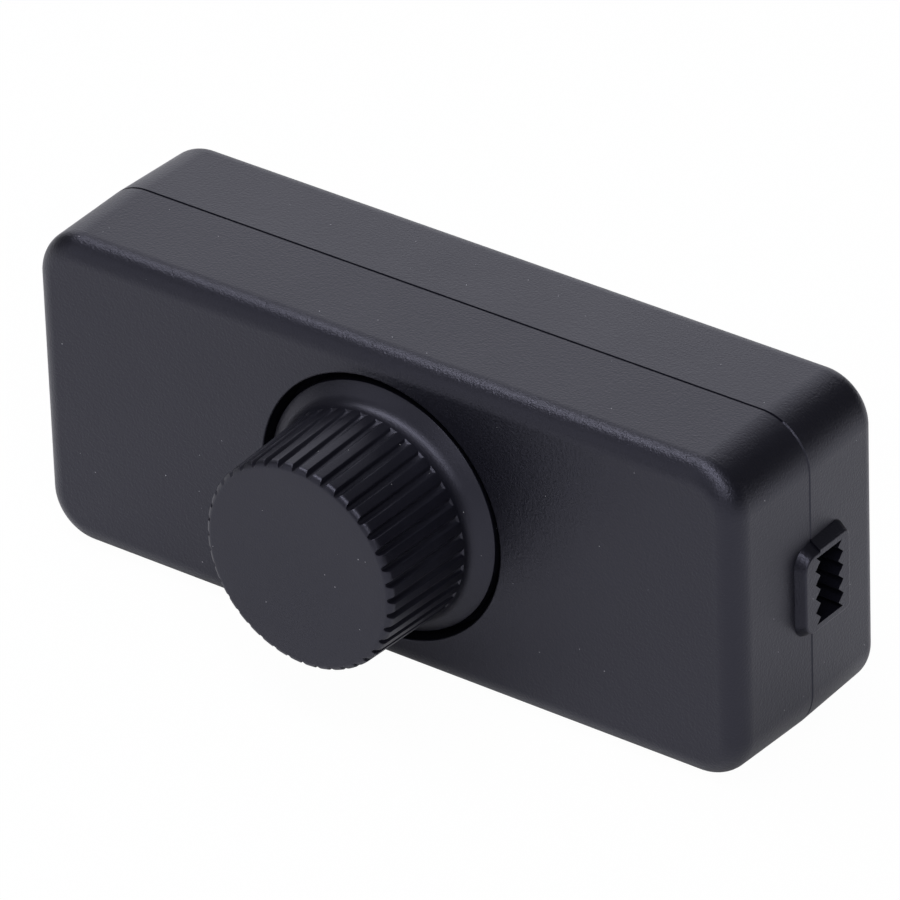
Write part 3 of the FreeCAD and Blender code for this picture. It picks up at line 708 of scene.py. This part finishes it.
for a, b in ((rib_in, rib_out), (-rib_out, -rib_in)):
    level_rib = block("rib", (a, rib_start_y, axis_z - rib_half), (b, rib_end_y, axis_z + rib_half))
    upright_rib = block("rib", (-rib_half, rib_start_y, axis_z + a), (rib_half, rib_end_y, axis_z + b))
    knob_steps += [("UNION", level_rib), ("UNION", upright_rib)]
shaded(carved(knob, knob_steps), knob_sharp_angle)
knob.data.materials.clear()
knob.data.materials.append(knob_plastic)
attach(knob, "knob")
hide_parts("knob")


# Case screws: two zinc-plated pan-head screws with cross recesses, driven from the back into the front cover.
# Their heads sit deep in the holes of the rear cover.
screw_low, screw_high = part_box("case_screws")
screw_head_y = screw_high.y
screw_tip_y = screw_low.y
screw_head_radius = 2.7 * mm
screw_shank_radius = 1.45 * mm
screw_tip_radius = 0.58 * mm
screw_tip_length = 1.5 * mm
screw_steps = 48
screw_sharp_angle = math.radians(35)
head_crown = 0.9 * mm
crown_steps = 8
recess_width = 0.75 * mm
recess_reach = 1.5 * mm
recess_depth = 1.3 * mm


def screw_blank():
    """One screw along Y, with a pointed shank, a crowned head and a cross recess."""
    profile = [(0, screw_tip_y), (screw_tip_radius, screw_tip_y),
               (screw_shank_radius, screw_tip_y + screw_tip_length), (screw_shank_radius, screw_seat_y),
               (screw_head_radius, screw_seat_y)]
    for angle in quarter_turn(crown_steps):
        profile.append((screw_head_radius - head_crown * (1 - math.cos(angle)),
                        screw_head_y - head_crown * (1 - math.sin(angle))))
    profile.append((0, screw_head_y))
    blank = turned("screw_blank", profile, 0, 0, screw_steps)
    half = recess_width / 2
    floor = screw_head_y - recess_depth
    top = screw_head_y + overlap
    arms = [("DIFFERENCE", block("recess", (-a, floor, -b), (a, top, b)))
            for a, b in ((recess_reach, half), (half, recess_reach))]
    return shaded(carved(blank, arms), screw_sharp_angle)


def placing_tree():
    """Sets a copy of one piece on every point of the mesh it is given."""
    tree = shape_tree("set_on_points", {"Piece": "NodeSocketObject", "Finish": "NodeSocketMaterial"})
    add = tree.nodes.new
    link = tree.links.new
    given = add("NodeGroupInput")
    made = add("NodeGroupOutput")
    piece = add("GeometryNodeObjectInfo")
    link(given.outputs["Piece"], piece.inputs["Object"])
    copies = add("GeometryNodeInstanceOnPoints")
    link(given.outputs["Geometry"], copies.inputs["Points"])
    link(piece.outputs["Geometry"], copies.inputs["Instance"])
    real = add("GeometryNodeRealizeInstances")
    link(copies.outputs[0], real.inputs[0])
    finish = add("GeometryNodeSetMaterial")
    link(real.outputs[0], finish.inputs["Geometry"])
    link(given.outputs["Finish"], finish.inputs["Material"])
    link(finish.outputs[0], made.inputs["Geometry"])
    return tree


small_cloud_scale = 400
small_tone_swing = 0.2
small_gloss_swing = 0.08


def plain_finish(name, colour, roughness, metallic=0.0, grain_scale=3000, grain_depth=0.005 * mm):
    """The clouded finish of a metal or of a small plastic piece."""
    material = clouded_finish(name, colour, roughness, grain_scale, grain_depth,
                              small_cloud_scale, small_tone_swing, small_gloss_swing)
    material.node_tree.nodes["Principled BSDF"].inputs["Metallic"].default_value = metallic
    return material


zinc = plain_finish(
    "zinc_plate", (0.62, 0.62, 0.6), 0.34, metallic=1.0, grain_scale=2500, grain_depth=0.01 * mm)
screw = screw_blank()
screw_points = bpy.data.meshes.new("case_screw_points")
screw_points.from_pydata([(x, 0, z) for x, z in boss_places], [], [])
case_screws = grown(placed("case_screw_pair", screw_points), placing_tree(), {"Piece": screw, "Finish": zinc})
bpy.data.objects.remove(screw)
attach(case_screws, "case")
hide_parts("case_screws")


# Pieces inside the case: the circuit board with the parts on it, the potentiometer with its switch, and the
# terminals for the cord, which are bought-in parts of metal, plastic, ferrite and laminate.
# Their shapes stay as the solids have them, each in the finish of its own material.
inner_finishes = {
    "zinc_steel": zinc,
    "die_cast": plain_finish(
        "die_cast_zinc", (0.5, 0.5, 0.5), 0.45, metallic=1.0, grain_depth=0.01 * mm),
    "shaft_aluminium": plain_finish(
        "turned_aluminium", (0.72, 0.72, 0.73), 0.35, metallic=1.0, grain_scale=4000),
    "board_laminate": plain_finish("board_laminate", (0.3, 0.22, 0.1), 0.5),
    "wafer_laminate": plain_finish("wafer_laminate", (0.25, 0.12, 0.05), 0.6),
    "rotor_plastic": plain_finish("rotor_plastic", (0.7, 0.68, 0.62), 0.5),
    "spring_bronze": plain_finish("spring_bronze", (0.75, 0.5, 0.28), 0.3, metallic=1.0),
    "tinned_copper": plain_finish("tinned_copper", (0.7, 0.7, 0.68), 0.3, metallic=1.0),
    "switch_plastic": plain_finish("switch_plastic", (0.03, 0.03, 0.03), 0.5, grain_depth=0.01 * mm),
    "epoxy": plain_finish("moulding_epoxy", (0.02, 0.02, 0.02), 0.5, grain_scale=4000, grain_depth=0.01 * mm),
    "ferrite": plain_finish("ferrite", (0.04, 0.04, 0.04), 0.6, grain_depth=0.02 * mm),
    "enamelled_copper": plain_finish(
        "enamelled_copper", (0.6, 0.22, 0.08), 0.3, metallic=1.0, grain_scale=2500, grain_depth=0.05 * mm),
    "capacitor_yellow": plain_finish("capacitor_yellow", (0.7, 0.5, 0.05), 0.4),
    "capacitor_brown": plain_finish("capacitor_brown", (0.25, 0.07, 0.03), 0.4),
    "fuse_brown": plain_finish("fuse_brown", (0.12, 0.05, 0.03), 0.45),
    "diode_blue": plain_finish("diode_blue", (0.05, 0.12, 0.4), 0.3),
    "resistor_beige": plain_finish("resistor_beige", (0.6, 0.45, 0.28), 0.5, grain_depth=0.01 * mm),
    "terminal_green": plain_finish("terminal_green", (0.03, 0.25, 0.1), 0.5, grain_depth=0.01 * mm),
    "terminal_steel": plain_finish(
        "terminal_steel", (0.6, 0.6, 0.6), 0.35, metallic=1.0, grain_depth=0.01 * mm),
}
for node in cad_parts.values():
    slot_name = node.data.materials[0].name
    if slot_name in inner_finishes:
        node.data.materials[0] = inner_finishes[slot_name]


# Stage: a plain white floor that keeps the dimmer's soft shadow, a white backdrop, lamps like studio
# softboxes, and the camera at the photograph's view.
floor_half = 3.0
floor_colour = (0.9, 0.9, 0.9, 1)
floor_roughness = 0.9
floor_seen_share = 0.98
floor_mirrored_share = 0.145
room_colour = (1, 1, 1, 1)
room_strength = 0.09
lamp_colour = (0.93, 0.93, 1)
middle = Vector((0, 0, axis_z))

floor_mesh = bpy.data.meshes.new("floor")
floor_corners = [(-1, -1), (1, -1), (1, 1), (-1, 1)]
floor_mesh.from_pydata([(x * floor_half, y * floor_half, 0) for x, y in floor_corners], [], [(0, 1, 2, 3)])
floor = placed("floor", floor_mesh)
floor_white = bpy.data.materials.new("white_floor")
floor_white.use_nodes = True
floor_nodes = floor_white.node_tree.nodes
floor_link = floor_white.node_tree.links.new
floor_diffuse = floor_nodes["Principled BSDF"]
floor_diffuse.inputs["Base Color"].default_value = floor_colour
floor_diffuse.inputs["Roughness"].default_value = floor_roughness
floor_glow = floor_nodes.new("ShaderNodeEmission")
floor_ray = floor_nodes.new("ShaderNodeLightPath")
floor_seen = floor_nodes.new("ShaderNodeMath")
floor_seen.operation = "MULTIPLY"
floor_seen.inputs[1].default_value = floor_seen_share
floor_mirrored = floor_nodes.new("ShaderNodeMath")
floor_mirrored.operation = "MULTIPLY_ADD"
floor_mirrored.inputs[1].default_value = floor_mirrored_share
floor_mix = floor_nodes.new("ShaderNodeMixShader")
floor_link(floor_ray.outputs["Is Camera Ray"], floor_seen.inputs[0])
floor_link(floor_ray.outputs["Is Glossy Ray"], floor_mirrored.inputs[0])
floor_link(floor_seen.outputs[0], floor_mirrored.inputs[2])
floor_link(floor_mirrored.outputs[0], floor_mix.inputs["Fac"])
floor_link(floor_diffuse.outputs["BSDF"], floor_mix.inputs[1])
floor_link(floor_glow.outputs["Emission"], floor_mix.inputs[2])
floor_link(floor_mix.outputs["Shader"], floor_nodes["Material Output"].inputs["Surface"])
floor_mesh.materials.append(floor_white)

world = bpy.data.worlds.new("studio")
bpy.context.scene.world = world
world.use_nodes = True
world_nodes = world.node_tree.nodes
world_link = world.node_tree.links.new
room = world_nodes["Background"]
room.inputs["Color"].default_value = room_colour
room.inputs["Strength"].default_value = room_strength
backdrop = world_nodes.new("ShaderNodeBackground")
world_ray = world_nodes.new("ShaderNodeLightPath")
world_mix = world_nodes.new("ShaderNodeMixShader")
world_link(world_ray.outputs["Is Camera Ray"], world_mix.inputs["Fac"])
world_link(room.outputs["Background"], world_mix.inputs[1])
world_link(backdrop.outputs["Background"], world_mix.inputs[2])
world_link(world_mix.outputs["Shader"], world_nodes["World Output"].inputs["Surface"])


def softbox(name, place, width, height, power, along):
    """A flat lamp turned to the dimmer, with its width along a given direction."""
    lamp = bpy.data.lights.new(name, "AREA")
    lamp.color = lamp_colour
    lamp.shape = "RECTANGLE"
    lamp.size = width
    lamp.size_y = height
    lamp.energy = power
    holder = placed(name, lamp)
    holder.location = place
    back_axis = (Vector(place) - middle).normalized()
    up_axis = back_axis.cross(Vector(along)).normalized()
    axes = Matrix((up_axis.cross(back_axis), up_axis, back_axis)).transposed()
    holder.rotation_mode = "QUATERNION"
    holder.rotation_quaternion = axes.to_quaternion()


softbox("back_box", place=(-0.6, 0.84, 0.52), width=1.2, height=1.0, power=4.3, along=(0.84, 0.6, 0))
softbox("fill_box", place=(-0.62, -0.9, 0.5), width=1.0, height=0.9, power=2.2, along=(0.9, -0.62, 0))
softbox("strip_box", place=(0.06, -0.31, 1.1), width=2.4, height=0.18, power=15.5, along=(1.12, -0.58, -0.22))
softbox("key_box", place=(0.5, -0.86, 0.5), width=0.7, height=0.45, power=1.5, along=(0.86, 0.5, 0))

camera_data = bpy.data.cameras.new("camera")
camera_data.sensor_width = 36
camera_data.lens = 412.3
camera_data.clip_end = 20
camera = placed("camera", camera_data)
camera_azimuth = math.radians(37.857)
camera_elevation = math.radians(31.507)
camera_roll = math.radians(-2.022)
camera.location = (0.55509, -0.70761, 0.57406)
back = Vector((math.sin(camera_azimuth) * math.cos(camera_elevation),
               -math.cos(camera_azimuth) * math.cos(camera_elevation), math.sin(camera_elevation)))
camera.rotation_mode = "QUATERNION"
camera.rotation_quaternion = ((-back).to_track_quat("-Z", "Y").to_matrix()
                              @ Matrix.Rotation(camera_roll, 3, "Z")).to_quaternion()
bpy.context.scene.camera = camera
bpy.context.scene.view_settings.view_transform = "Standard"
